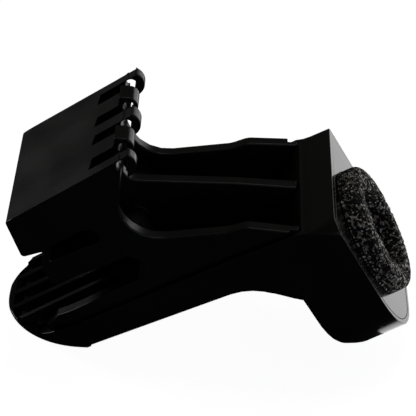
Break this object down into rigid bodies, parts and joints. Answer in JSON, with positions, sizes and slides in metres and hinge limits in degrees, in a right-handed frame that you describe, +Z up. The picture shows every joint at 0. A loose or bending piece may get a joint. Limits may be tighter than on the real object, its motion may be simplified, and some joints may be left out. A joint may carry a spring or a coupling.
{
  "type": "cleat horn",
  "caption": "Hollow black plastic cleat horn with a finned jaw, a hinge comb above it and a foam ring on the sloped end flange.",
  "frame": {"origin": "centre of the bounding box in plan, on the ground plane that the nose tip and the lobe rest on", "axes": "+X along the horn from the nose to the foam ring, +Y across it, +Z up"},
  "size_m": [0.0912, 0.0388, 0.0514],
  "materials": {
    "shell": "satin black moulded plastic with a fine surface",
    "adhesive": "thin tacky film",
    "foam": "coarse open cell foam"
  },
  "bodies": {
    "root": {"upper_body": "shell", "lower_shell": "shell", "end_plate": "shell", "adhesive_ring": "adhesive", "foam_ring": "foam"}
  },
  "joints": []
}
